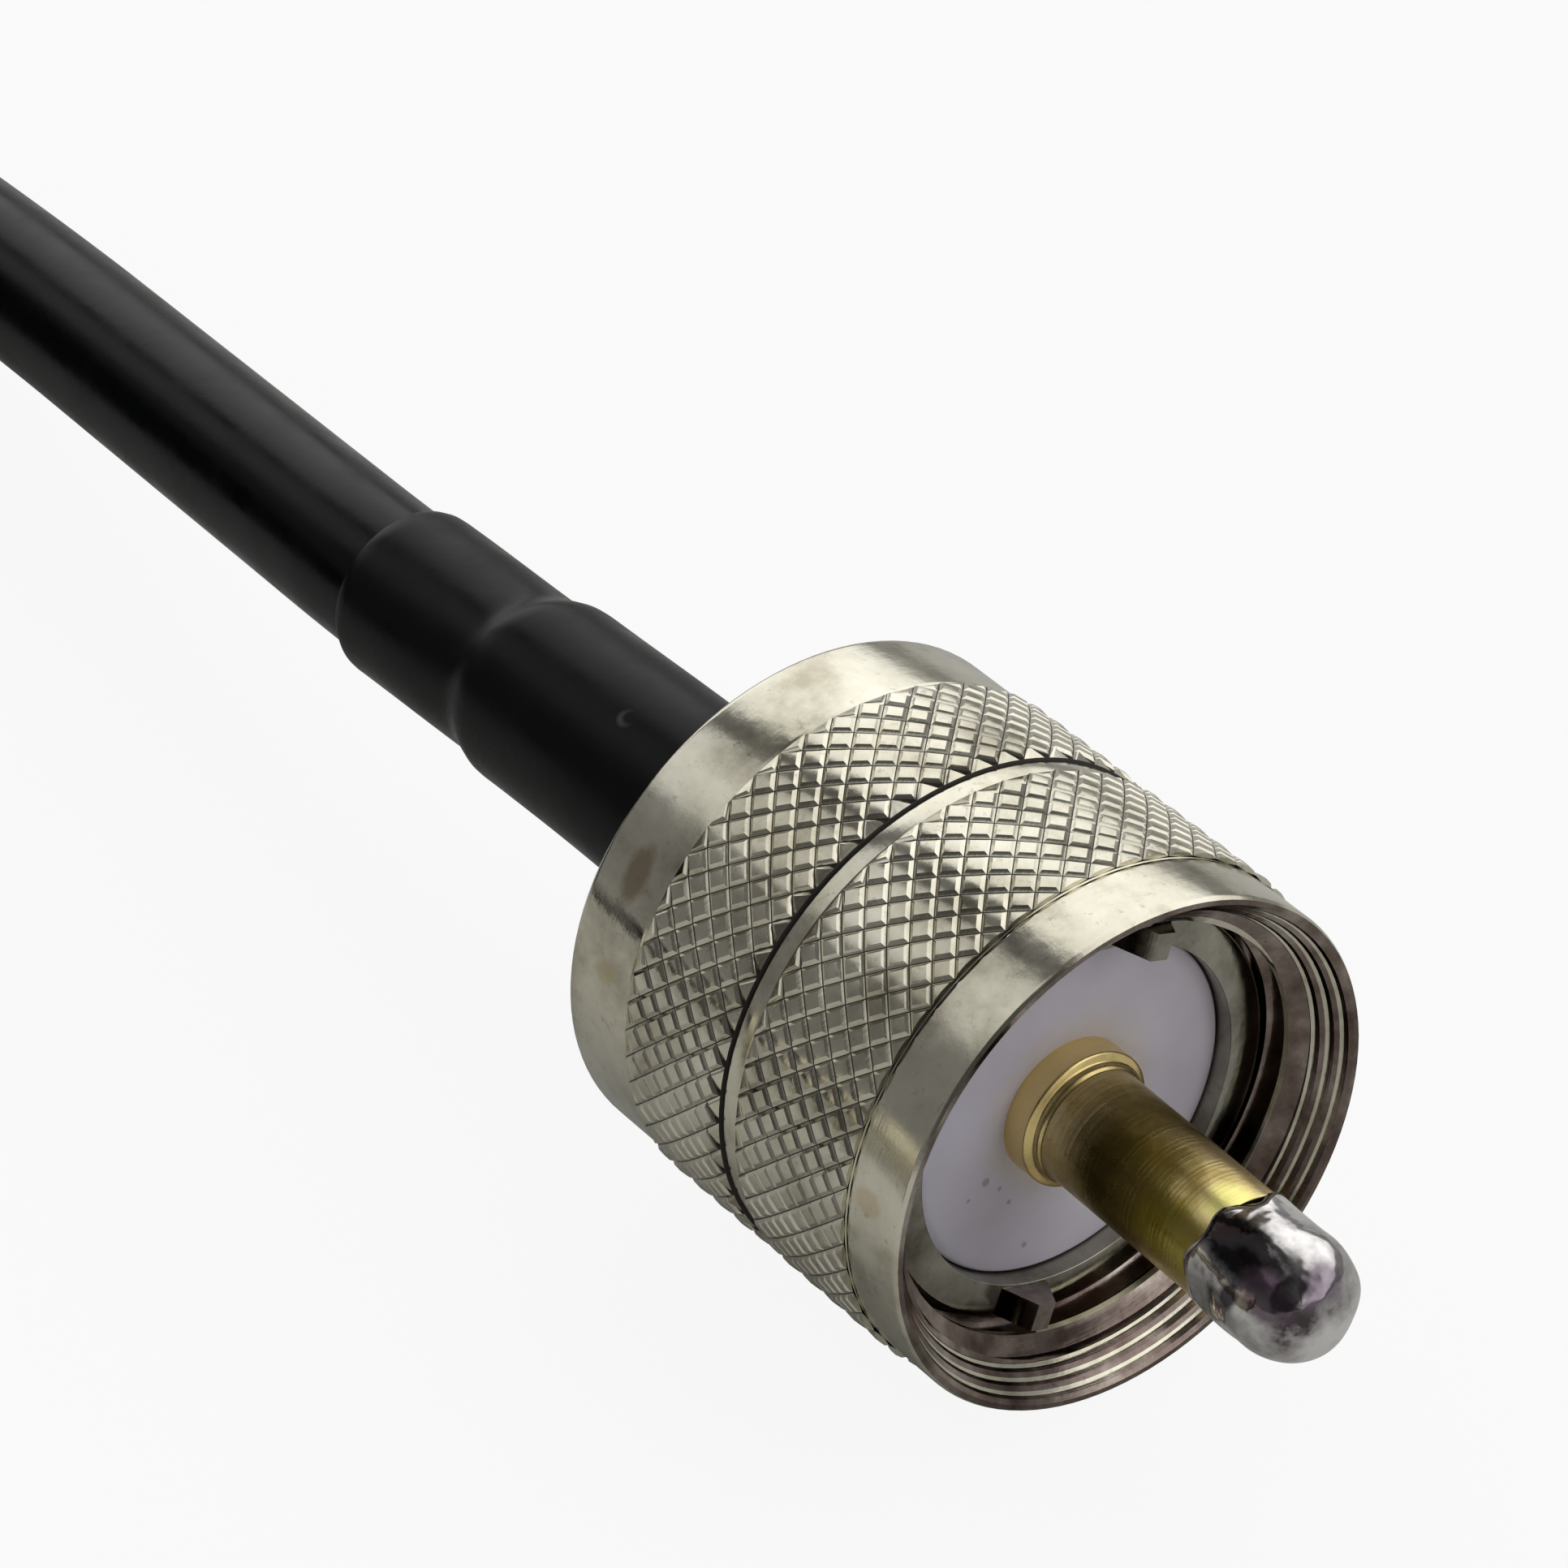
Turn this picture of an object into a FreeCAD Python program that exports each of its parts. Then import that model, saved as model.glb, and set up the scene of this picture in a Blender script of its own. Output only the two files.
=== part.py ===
import FreeCAD, Part
import math
import os
import re
import Sketcher

# Coaxial jumper cable: a crimped UHF plug on each end of a 5.4 mm coaxial cable.
# Millimetres, +Z up. The origin is the centre of the near plug's front contact face,
# +X leaves the plug's mouth, and the cable leaves along -X.

Vector = FreeCAD.Vector
doc = FreeCAD.newDocument("coaxial_jumper_cable")

# Driving dimensions
SIZES = {
    # coupling nut
    "nut_front": 2.6,
    "nut_length": 16.9,
    "thread_minor": 7.35,
    "thread_depth": 0.59,
    "thread_reach": 9.0,
    "nut_wall": 1.06,
    "front_collar": 2.5,
    "rear_collar": 3.2,
    "rim_bevel": 0.25,
    "knurl_foot": 0.02,
    "knurl_depth": 0.16,
    "knurl_pitch": 1.09,
    "knurl_seat": 0.3,
    "groove_place": 6.25,
    "groove_width": 0.85,
    "groove_depth": 0.25,
    "relief_play": 0.06,
    "lip_length": 2.5,
    "neck_play": 0.12,
    # plug body
    "head_play": 0.15,
    "head_length": 5.8,
    "head_bevel": 0.15,
    "head_wall": 1.2,
    "shoulder": 1.3,
    "chamber_depth": 4.4,
    "socket_wall": 1.7,
    "socket_depth": 10.5,
    "neck_inset": 0.2,
    "stem_wall": 0.48,
    "stem_length": 11.0,
    "tooth_width": 2.1,
    "tooth_height": 1.25,
    "tooth_inset": 0.12,
    "tooth_depth": 0.85,
    "tooth_angle": 71.0,
    "tooth_root": 0.3,
    # insulator and pin
    "insulator_inset": 0.65,
    "pin_radius": 1.98,
    "pin_length": 7.9,
    "pin_collar_rise": 0.4,
    "pin_collar_front": 0.2,
    "pin_collar_bevel": 0.35,
    "shank_step": 0.38,
    "shank_wall": 0.7,
    "solder_inset": 0.01,
    "solder_length": 4.0,
    "solder_nose": 0.17,
    "solder_fill": 5.0,
    "wire_tip": 1.0,
    # cable and crimp
    "cable_radius": 2.7,
    "wire_radius": 0.45,
    "dielectric_radius": 1.48,
    "braid_thickness": 0.5,
    "ferrule_lap": 2.4,
    "ferrule_inset": 0.2,
    "ferrule_wall": 0.45,
    "shrink_wall": 0.3,
    "shrink_lap": 0.5,
    "shrink_step": 1.2,
    "shrink_over_cable": 7.0,
    "jacket_gap": 0.8,
    "seat_gap": 0.04,
    # coil
    "coil_x": -112.0,
    "coil_radius": 29.0,
    "coil_layers": 3.0,
    "coil_edge": 0.3,
    "coil_gap": 0.4,
    # far plug
    "far_plug_x": -20.0,
}

sheet = doc.addObject("Spreadsheet::Sheet", "Sizes")
for row, (alias, number) in enumerate(SIZES.items(), start=1):
    sheet.set(f"A{row}", alias)
    sheet.set(f"B{row}", str(number))
    sheet.setAlias(f"B{row}", alias)
doc.recompute()

# Sizes and stations that follow from the driving dimensions
DERIVED = {
    "nut_rear": "nut_front - nut_length",
    "thread_major": "thread_minor + thread_depth",
    "thread_end": "nut_front - thread_reach",
    "collar_radius": "thread_major + nut_wall",
    "valley_radius": "collar_radius + knurl_foot",
    "knurl_radius": "valley_radius + knurl_depth",
    "knurl_inner": "collar_radius - knurl_seat",
    "front_collar_end": "nut_front - front_collar",
    "rear_collar_end": "nut_rear + rear_collar",
    "groove_rear": "-groove_place",
    "groove_front": "groove_rear + groove_width",
    "groove_floor": "collar_radius - groove_depth",
    "relief_radius": "thread_major + relief_play",
    "lip_front": "nut_rear + lip_length",
    "lip_radius": "neck_radius + neck_play",
    "head_radius": "thread_minor - head_play",
    "chamber_radius": "head_radius - head_wall",
    "neck_radius": "head_radius - shoulder",
    "neck_rear": "nut_rear + neck_inset",
    "socket_radius": "neck_radius - socket_wall",
    "stem_radius": "cable_bore + stem_wall",
    "stem_rear": "neck_rear - stem_length",
    "cable_bore": "dielectric_radius + seat_gap",
    "wire_bore": "wire_radius + seat_gap",
    "insulator_front": "-insulator_inset",
    "insulator_radius": "chamber_radius - seat_gap",
    "insulator_rear_radius": "socket_radius - seat_gap",
    "shank_radius": "pin_radius - shank_step",
    "pin_bore": "shank_radius - shank_wall",
    "pin_hole": "shank_radius + seat_gap",
    "pin_collar_radius": "pin_radius + pin_collar_rise",
    "pin_collar_end": "pin_collar_front + pin_collar_bevel",
    "solder_radius": "pin_radius - solder_inset",
    "solder_round": "solder_radius - solder_nose",
    "solder_end": "pin_length + solder_length",
    "wire_end": "pin_length + wire_tip",
    "crimp_front": "neck_rear - ferrule_inset",
    "braid_inner": "stem_radius + seat_gap",
    "braid_outer": "braid_inner + braid_thickness",
    "braid_slope_end": "stem_rear - braid_thickness - seat_gap",
    "braid_small": "dielectric_radius + seat_gap",
    "braid_waist": "braid_small + braid_thickness",
    "ferrule_inner": "braid_outer + seat_gap",
    "ferrule_outer": "ferrule_inner + ferrule_wall",
    "ferrule_rear": "stem_rear - ferrule_lap",
    "jacket_front": "ferrule_rear - jacket_gap",
    "shrink_shoulder": "ferrule_rear - shrink_lap",
    "shrink_waist": "shrink_shoulder - shrink_step",
    "shrink_rear": "shrink_waist - shrink_over_cable",
    "shrink_inner": "ferrule_outer + seat_gap",
    "shrink_outer": "shrink_inner + shrink_wall",
    "sleeve_inner": "cable_radius + seat_gap",
    "sleeve_outer": "sleeve_inner + shrink_wall",
    "floor_level": "-knurl_radius",
    "coil_outer": "coil_radius + 2 * cable_radius",
    "coil_inner": "coil_radius - 2 * cable_radius",
    "coil_top": "floor_level + 2 * coil_layers * cable_radius",
    "coil_round": "cable_radius - coil_edge",
    "outer_turn": "coil_radius + cable_radius",
    "inner_turn": "coil_radius - cable_radius",
    "far_line": "-outer_turn - inner_turn",
}


def spelled_out(formula):
    """The formula with every derived name replaced by what it stands for."""
    return re.sub(
        r"[a-z_]+",
        lambda word: f"({spelled_out(DERIVED[word[0]])})" if word[0] in DERIVED else word[0],
        formula,
    )


def bound(formula):
    """The formula as a document expression on the sheet's cells."""
    return re.sub(r"[a-z_]+", lambda word: "Sizes." + word[0], spelled_out(formula))


def worth(formula):
    """The formula's value in millimetres, from the sheet's cells."""
    cells = iter(re.findall(r"[a-z_]+|[\d.]+|[()+*-]", spelled_out(formula)))
    return added_up(list(cells))


def added_up(tokens):
    """The value of a sum of products with brackets, given as its tokens."""
    total, sign = 0.0, 1
    while tokens and tokens[0] != ")":
        if tokens[0] in "+-":
            sign = -1 if tokens.pop(0) == "-" else 1
        product = factor(tokens)
        while tokens and tokens[0] == "*":
            tokens.pop(0)
            product *= factor(tokens)
        total += sign * product
    return total


def factor(tokens):
    """The value of one number, cell, signed factor or bracket."""
    token = tokens.pop(0)
    if token == "-":
        return -factor(tokens)
    if token == "(":
        inside = added_up(tokens)
        tokens.pop(0)
        return inside
    return float(token) if token[0] in ".0123456789" else float(sheet.get(token))


# Diamonds round the nut
KNURL_STARTS = 54


def origin_plane(body, role):
    return next(f for f in body.Origin.OriginFeatures if f.Role == role)


def new_body(label, placement):
    body = doc.addObject("PartDesign::Body", label)
    body.Label = label
    body.Placement = placement
    return body


def profile_sketch(body, name, corners, plane="XZ_Plane"):
    """A closed outline with every corner tied to the sheet, on one of the body's own planes."""
    sketch = body.newObject("Sketcher::SketchObject", name)
    sketch.AttachmentSupport = [(origin_plane(body, plane), "")]
    sketch.MapMode = "FlatFace"
    points = [Vector(worth(across), worth(up), 0) for across, up in corners]
    count = len(points)
    for i in range(count):
        sketch.addGeometry(Part.LineSegment(points[i], points[(i + 1) % count]))
    for i in range(count):
        sketch.addConstraint(Sketcher.Constraint("Coincident", i, 2, (i + 1) % count, 1))
    for i, corner in enumerate(corners):
        for kind, axis, formula in (("DistanceX", -2, corner[0]), ("DistanceY", -1, corner[1])):
            if formula == "0":
                sketch.addConstraint(Sketcher.Constraint("PointOnObject", i, 1, axis))
                continue
            size = Sketcher.Constraint(kind, -1, 1, i, 1, worth(formula))
            place = sketch.addConstraint(size)
            sketch.setExpression(f"Constraints[{place}]", bound(formula))
    return sketch


def turned(label, corners, placement):
    """A piece turned about the X axis from its half section."""
    body = new_body(label, placement)
    sketch = profile_sketch(body, label + "_section", corners)
    turn = body.newObject("PartDesign::Revolution", label + "_turned")
    turn.Profile = sketch
    turn.ReferenceAxis = (sketch, ["H_Axis"])
    turn.Angle = 360
    body.Tip = turn
    doc.recompute()
    return body


def knurled_bar(label, first, last):
    """A bar about the X axis between two stations, its side a lattice of four-sided points."""
    rows = round(2 * (last - first) / worth("knurl_pitch"))
    advance = (last - first) / rows
    half_step = math.pi / KNURL_STARTS
    valley = worth("valley_radius")
    crest = worth("knurl_radius")

    def spot(row, place, radius):
        angle = place * half_step
        return Vector(first + row * advance, radius * math.cos(angle), radius * math.sin(angle))

    faces = []
    for row in range(rows + 1):
        for place in range(row % 2, 2 * KNURL_STARTS, 2):
            point = spot(row, place, crest)
            left = spot(row, place - 1, valley)
            right = spot(row, place + 1, valley)
            corners = []
            if row > 0:
                corners.append(spot(row - 1, place, valley))
            if row < rows:
                corners.append(spot(row + 1, place, valley))
            for corner in corners:
                faces.append(Part.Face(Part.makePolygon([left, corner, point, left])))
                faces.append(Part.Face(Part.makePolygon([corner, right, point, corner])))
    for row in (0, rows):
        rim = []
        for place in range(2 * KNURL_STARTS + 1):
            high = place % 2 == row % 2
            rim.append(spot(row, place, crest if high else valley))
        faces.append(Part.Face(Part.makePolygon(rim)))
    skin = Part.Shell(faces)
    skin.sewShape()
    bar = doc.addObject("Part::Feature", label)
    bar.Shape = Part.Solid(skin)
    return bar


def knurl_sleeve(label, first, last):
    """One band of the diamond knurl, as a ring that sits in the nut's blank."""
    bar = knurled_bar(label + "_bar", worth(first), worth(last))
    core = doc.addObject("Part::Cylinder", label + "_core")
    core.setExpression("Radius", bound("knurl_inner"))
    core.setExpression("Height", bound(f"({last}) - ({first})"))
    core.setExpression(".Placement.Base.x", bound(first))
    core.Placement.Rotation = FreeCAD.Rotation(Vector(0, 1, 0), 90)
    ring = doc.addObject("Part::Cut", label)
    ring.Base = bar
    ring.Tool = core
    doc.recompute()
    return ring


def coupling_nut(label, placement):
    blank = turned(
        label + "_blank",
        [
            ("nut_front", "thread_major"),
            ("nut_front", "collar_radius - rim_bevel"),
            ("nut_front - rim_bevel", "collar_radius"),
            ("groove_front", "collar_radius"),
            ("groove_front", "groove_floor"),
            ("groove_rear", "groove_floor"),
            ("groove_rear", "collar_radius"),
            ("nut_rear + rim_bevel", "collar_radius"),
            ("nut_rear", "collar_radius - rim_bevel"),
            ("nut_rear", "lip_radius"),
            ("lip_front", "lip_radius"),
            ("lip_front", "relief_radius"),
            ("thread_end", "relief_radius"),
            ("thread_end", "thread_minor"),
            ("nut_front - thread_depth", "thread_minor"),
        ],
        FreeCAD.Placement(),
    )
    nut = doc.addObject("Part::MultiFuse", label)
    nut.Label = label
    nut.Shapes = [
        blank,
        knurl_sleeve(label + "_front_knurl", "groove_front", "front_collar_end"),
        knurl_sleeve(label + "_rear_knurl", "rear_collar_end", "groove_rear"),
    ]
    nut.Placement = placement
    doc.recompute()
    return nut


def plug_body(label, placement):
    body = turned(
        label,
        [
            ("0", "chamber_radius"),
            ("0", "head_radius - head_bevel"),
            ("-head_bevel", "head_radius"),
            ("-head_length", "head_radius"),
            ("-head_length", "neck_radius"),
            ("neck_rear", "neck_radius"),
            ("neck_rear", "stem_radius"),
            ("stem_rear", "stem_radius"),
            ("stem_rear", "cable_bore"),
            ("-socket_depth", "cable_bore"),
            ("-socket_depth", "socket_radius"),
            ("-chamber_depth", "socket_radius"),
            ("-chamber_depth", "chamber_radius"),
        ],
        placement,
    )
    # One of the two locating teeth, a ridge on the contact face
    tooth_sketch = profile_sketch(
        body,
        label + "_tooth_outline",
        [
            ("-tooth_root", "0.5 * tooth_width"),
            ("0", "0.5 * tooth_width"),
            ("tooth_height", "0"),
            ("0", "-0.5 * tooth_width"),
            ("-tooth_root", "-0.5 * tooth_width"),
        ],
        "XY_Plane",
    )
    turn = worth("tooth_angle - 90")
    sine, cosine = math.sin(math.radians(turn)), math.cos(math.radians(turn))
    reach = worth("chamber_radius + tooth_inset")
    tooth_sketch.AttachmentOffset = FreeCAD.Placement(
        Vector(0, -reach * sine, reach * cosine),
        FreeCAD.Rotation(Vector(1, 0, 0), turn),
    )
    lean = "(Sizes.tooth_angle - 90) * 1deg"
    tooth_sketch.setExpression(".AttachmentOffset.Rotation.Angle", lean)
    foot = bound("(chamber_radius + tooth_inset)")
    tooth_sketch.setExpression(".AttachmentOffset.Base.y", f"-{foot} * sin({lean})")
    tooth_sketch.setExpression(".AttachmentOffset.Base.z", f"{foot} * cos({lean})")
    tooth = body.newObject("PartDesign::Pad", label + "_tooth")
    tooth.Profile = tooth_sketch
    tooth.setExpression("Length", bound("tooth_depth"))
    body.Tip = tooth
    doc.recompute()
    teeth = body.newObject("PartDesign::PolarPattern", label + "_teeth")
    teeth.Originals = [tooth]
    teeth.Axis = (origin_plane(body, "X_Axis"), [""])
    teeth.Angle = 360
    teeth.Occurrences = 2
    body.Tip = teeth
    doc.recompute()
    return body


def insulator(label, placement):
    return turned(
        label,
        [
            ("insulator_front", "pin_hole"),
            ("insulator_front", "insulator_radius"),
            ("-chamber_depth", "insulator_radius"),
            ("-chamber_depth", "insulator_rear_radius"),
            ("-socket_depth", "insulator_rear_radius"),
            ("-socket_depth", "pin_hole"),
        ],
        placement,
    )


def centre_pin(label, placement):
    return turned(
        label,
        [
            ("pin_length", "pin_bore"),
            ("pin_length", "pin_radius"),
            ("pin_collar_end", "pin_radius"),
            ("pin_collar_front", "pin_collar_radius"),
            ("insulator_front", "pin_collar_radius"),
            ("insulator_front", "shank_radius"),
            ("-socket_depth", "shank_radius"),
            ("-socket_depth", "pin_bore"),
        ],
        placement,
    )


def solder_tip(label, placement):
    body = turned(
        label,
        [
            ("solder_end", "0"),
            ("solder_end", "solder_radius"),
            ("pin_length", "solder_radius"),
            ("pin_length", "pin_bore - seat_gap"),
            ("pin_length - solder_fill", "pin_bore - seat_gap"),
            ("pin_length - solder_fill", "wire_bore"),
            ("wire_end", "wire_bore"),
            ("wire_end", "0"),
        ],
        placement,
    )
    blob = body.Tip
    front_edge = next(
        f"Edge{i}"
        for i, edge in enumerate(blob.Shape.Edges, start=1)
        if isinstance(edge.Curve, Part.Circle)
        and abs(edge.Curve.Radius - worth("solder_radius")) < 1e-6
        and abs(edge.Curve.Center.x - worth("solder_end")) < 1e-6
    )
    dome = body.newObject("PartDesign::Fillet", label + "_dome")
    dome.Base = (blob, [front_edge])
    dome.setExpression("Radius", bound("solder_round"))
    body.Tip = dome
    doc.recompute()
    return body


def crimp_ferrule(label, placement):
    return turned(
        label,
        [
            ("crimp_front", "ferrule_inner"),
            ("crimp_front", "ferrule_outer"),
            ("ferrule_rear", "ferrule_outer"),
            ("ferrule_rear", "ferrule_inner"),
        ],
        placement,
    )


def heat_shrink(label, placement):
    return turned(
        label,
        [
            ("nut_rear", "shrink_inner"),
            ("nut_rear", "shrink_outer"),
            ("shrink_shoulder", "shrink_outer"),
            ("shrink_waist", "sleeve_outer"),
            ("shrink_rear", "sleeve_outer"),
            ("shrink_rear", "sleeve_inner"),
            ("shrink_waist", "sleeve_inner"),
            ("shrink_shoulder", "shrink_inner"),
        ],
        placement,
    )


def braid_end(label, placement):
    return turned(
        label,
        [
            ("crimp_front", "braid_inner"),
            ("crimp_front", "braid_outer"),
            ("stem_rear", "braid_outer"),
            ("braid_slope_end", "braid_waist"),
            ("jacket_front", "braid_waist"),
            ("jacket_front", "braid_small"),
            ("braid_slope_end", "braid_small"),
            ("stem_rear - seat_gap", "braid_inner"),
        ],
        placement,
    )


def dielectric_end(label, placement):
    return turned(
        label,
        [
            ("-socket_depth", "wire_bore"),
            ("-socket_depth", "dielectric_radius"),
            ("jacket_front", "dielectric_radius"),
            ("jacket_front", "wire_bore"),
        ],
        placement,
    )


def centre_conductor_end(label, placement):
    return turned(
        label,
        [
            ("wire_end", "0"),
            ("wire_end", "wire_radius"),
            ("jacket_front", "wire_radius"),
            ("jacket_front", "0"),
        ],
        placement,
    )


def bent_tube(label, route, radius):
    """A round cord along straight runs joined by tangent arcs."""
    edges = []
    here = route[0]
    for before, corner, after in zip(route, route[1:], route[2:]):
        back = before - corner
        ahead = after - corner
        reach = 0.45 * min(back.Length, ahead.Length)
        turn = math.pi - back.getAngle(ahead)
        bend = reach / math.tan(turn / 2)
        print(f"{label}: turn {math.degrees(turn):.1f} degrees, radius {bend:.1f} mm")
        start = corner + back.normalize() * reach
        end = corner + ahead.normalize() * reach
        inward = (back + ahead).normalize()
        middle = corner + inward * (bend / math.cos(turn / 2) - bend)
        edges.append(Part.LineSegment(here, start).toShape())
        edges.append(Part.Arc(start, middle, end).toShape())
        here = end
    edges.append(Part.LineSegment(here, route[-1]).toShape())
    path = Part.Wire(edges)
    section = Part.Wire(Part.makeCircle(radius, route[0], route[1] - route[0]))
    tube = path.makePipeShell([section], True, False)
    wanted = math.pi * radius**2 * path.Length
    print(f"{label}: {path.Length:.1f} mm long, volume {tube.Volume:.1f} against {wanted:.1f}")
    feature = doc.addObject("Part::Feature", label)
    feature.Label = label
    feature.Shape = tube
    return feature


def cable_coil(label):
    """The outer shape of the cable's put-away turns, lying on the floor."""
    centre = Vector(worth("coil_x"), worth("-outer_turn"), 0)
    body = new_body(label, FreeCAD.Placement(centre, FreeCAD.Rotation()))
    sketch = profile_sketch(
        body,
        label + "_section",
        [
            ("coil_inner", "floor_level"),
            ("coil_outer", "floor_level"),
            ("coil_outer", "coil_top"),
            ("coil_inner", "coil_top"),
        ],
    )
    ring = body.newObject("PartDesign::Revolution", label + "_turned")
    ring.Profile = sketch
    ring.ReferenceAxis = (sketch, ["V_Axis"])
    ring.Angle = 360
    body.Tip = ring
    doc.recompute()
    rims = [
        f"Edge{i}"
        for i, edge in enumerate(ring.Shape.Edges, start=1)
        if isinstance(edge.Curve, Part.Circle)
    ]
    rounded = body.newObject("PartDesign::Fillet", label + "_rounded")
    rounded.Base = (ring, rims)
    rounded.setExpression("Radius", bound("coil_round"))
    body.Tip = rounded
    body.setExpression(".Placement.Base.x", bound("coil_x"))
    body.setExpression(".Placement.Base.y", bound("-outer_turn"))
    doc.recompute()
    return body


# The two plugs
MAKERS = (
    coupling_nut,
    plug_body,
    insulator,
    centre_pin,
    solder_tip,
    crimp_ferrule,
    heat_shrink,
    braid_end,
    dielectric_end,
    centre_conductor_end,
)
near_place = FreeCAD.Placement()
far_line = worth("far_line")
far_place = FreeCAD.Placement(Vector(worth("far_plug_x"), far_line, 0), FreeCAD.Rotation())


def second_nut(label, first_nut):
    """The far plug's nut, a copy of the near one with its knurl."""
    nut = doc.addObject("Part::Feature", label)
    nut.Label = label
    nut.Shape = first_nut.Shape
    nut.Placement = far_place
    return nut


pieces = []
for prefix, placement in (("", near_place), ("far_", far_place)):
    for maker in MAKERS:
        label = prefix + maker.__name__
        if prefix and maker is coupling_nut:
            piece = second_nut(label, pieces[0])
        else:
            piece = maker(label, placement)
        if prefix:
            piece.setExpression(".Placement.Base.x", bound("far_plug_x"))
            piece.setExpression(".Placement.Base.y", bound("far_line"))
        pieces.append(piece)

# The cable: the run out of the near plug, the coil, and the tail into the far plug
pieces.append(cable_coil("cable_coil"))

# Corners of the routes between plug and coil
RUN_BEND = -62.0
RUN_DROP = -5.9
TAIL_UPPER_BEND = -76.0
TAIL_UPPER_HEIGHT = 3.8
TAIL_LOWER_BEND = -62.0

coil_x = worth("coil_x")
cord_radius = worth("cable_radius")
jacket_front = worth("jacket_front")
outer_turn = worth("outer_turn")
inner_turn = worth("inner_turn")
clear_of_coil = worth("coil_outer + coil_gap")
run_end = coil_x + math.sqrt(clear_of_coil**2 - (outer_turn - cord_radius) ** 2)
tail_start = coil_x + math.sqrt(clear_of_coil**2 - (inner_turn - cord_radius) ** 2)
top_turn = worth("coil_top - cable_radius")
far_jacket = worth("far_plug_x + jacket_front")

run_route = [
    Vector(jacket_front, 0, 0),
    Vector(RUN_BEND, 0, 0),
    Vector(run_end, 0, RUN_DROP),
]
tail_route = [
    Vector(tail_start, far_line, top_turn),
    Vector(TAIL_UPPER_BEND, far_line, TAIL_UPPER_HEIGHT),
    Vector(TAIL_LOWER_BEND, far_line, 0),
    Vector(far_jacket, far_line, 0),
]
pieces.append(bent_tube("cable_run", run_route, cord_radius))
pieces.append(bent_tube("cable_tail", tail_route, cord_radius))

doc.recompute()

# Every object and every shape is sound before anything is written
for thing in doc.Objects:
    faults = {"Invalid", "Error"} & set(thing.State)
    if faults:
        raise RuntimeError(f"{thing.Label}: {', '.join(faults)}")
for piece in pieces:
    if piece.Shape.isNull() or not piece.Shape.isValid():
        raise RuntimeError(f"{piece.Label}: its shape is empty or not valid")

os.makedirs("parts", exist_ok=True)
for piece in pieces:
    piece.Shape.exportStep(f"parts/{piece.Label}.step")
    box = piece.Shape.BoundBox
    print(
        f"{piece.Label}: {len(piece.Shape.Solids)} solid, {piece.Shape.Volume:.1f} cubic mm,"
        f" x {box.XMin:.2f} to {box.XMax:.2f}, z {box.ZMin:.2f} to {box.ZMax:.2f}"
    )
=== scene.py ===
import math
import random
import bpy
from mathutils import Matrix, Vector

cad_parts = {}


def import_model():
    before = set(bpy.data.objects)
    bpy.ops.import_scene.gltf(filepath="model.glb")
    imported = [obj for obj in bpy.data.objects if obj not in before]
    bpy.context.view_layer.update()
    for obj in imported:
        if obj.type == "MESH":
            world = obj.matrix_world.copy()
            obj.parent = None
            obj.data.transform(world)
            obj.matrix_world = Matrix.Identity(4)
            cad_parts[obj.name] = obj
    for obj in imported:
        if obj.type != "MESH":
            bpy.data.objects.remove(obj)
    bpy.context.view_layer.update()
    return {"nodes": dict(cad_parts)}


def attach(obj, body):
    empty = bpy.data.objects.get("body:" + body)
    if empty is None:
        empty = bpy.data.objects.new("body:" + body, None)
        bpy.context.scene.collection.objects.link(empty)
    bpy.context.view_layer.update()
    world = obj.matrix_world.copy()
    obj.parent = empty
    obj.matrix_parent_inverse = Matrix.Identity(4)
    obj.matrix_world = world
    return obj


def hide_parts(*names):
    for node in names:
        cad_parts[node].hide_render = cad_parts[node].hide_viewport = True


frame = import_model()

# Sizes and places below are in millimetres, scaled to metres where an object is made.
# Bump depths and the cord's own values are in metres, and a noise's scale is per metre.
MM = 0.001
TAU = 2 * math.pi
scene = bpy.context.scene

# The near plug lies with its axis on +X and its contact face at the origin
NEAR = Vector((0, 0, 0))
FAR = Vector((-20, -58, 0))
NUT_BODY = {"": "near_nut", "far_": "far_nut"}
PLUGS = {"": NEAR, "far_": FAR}
LEAD = "lead"

# Stations along the nut and radii of its parts
NUT_FRONT, NUT_REAR = 2.6, -14.3
FRONT_BAND, GROOVE_FRONT, GROOVE_REAR, REAR_BAND = 0.1, -5.4, -6.25, -11.1
THREAD_END, LIP_FRONT = -6.4, -11.8
COLLAR = 9.0
KNURL_TOP, KNURL_FLOOR = 9.18, 9.05
THREAD_MAJOR, THREAD_MINOR = 7.94, 7.35
THREAD_PITCH = 25.4 / 24
RELIEF_RADIUS, LIP_RADIUS = 8.0, 6.02
MOUTH, MOUTH_STEP, MOUTH_RISE, MOUTH_RIDGES = 8.74, 0.38, 0.26, 3
SEGMENTS = 108
STARTS = 54
FRONT_ROWS, REAR_ROWS = 10, 9

# The body, the insulator and the pin
BODY_RADIUS, BODY_REAR = 7.2, -5.8
NECK_RADIUS, NECK_REAR = 5.9, -14.1
STEM_RADIUS, STEM_BORE, STEM_REAR = 2.0, 1.52, -25.1
POCKET_RADIUS, CHAMBER_RADIUS, CHAMBER_STEP, CHAMBER_REAR = 6.0, 4.2, -4.4, -10.5
INSULATOR_FACE, INSULATOR_GAP, INSULATOR_BORE = -0.65, 0.04, 1.64
PIN_RADIUS, PIN_BORE, PIN_END = 1.98, 0.9, 7.9
PIN_COLLAR, PIN_TAIL_RADIUS = 2.38, 1.6
TOOTH_ANGLE = math.radians(71)
SOLDER_START, SOLDER_DOME, SOLDER_TIP = 7.6, 10.0, 11.95
SOLDER_RADIUS = 2.07
SOLDER_HIGH = math.radians(95)

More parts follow.
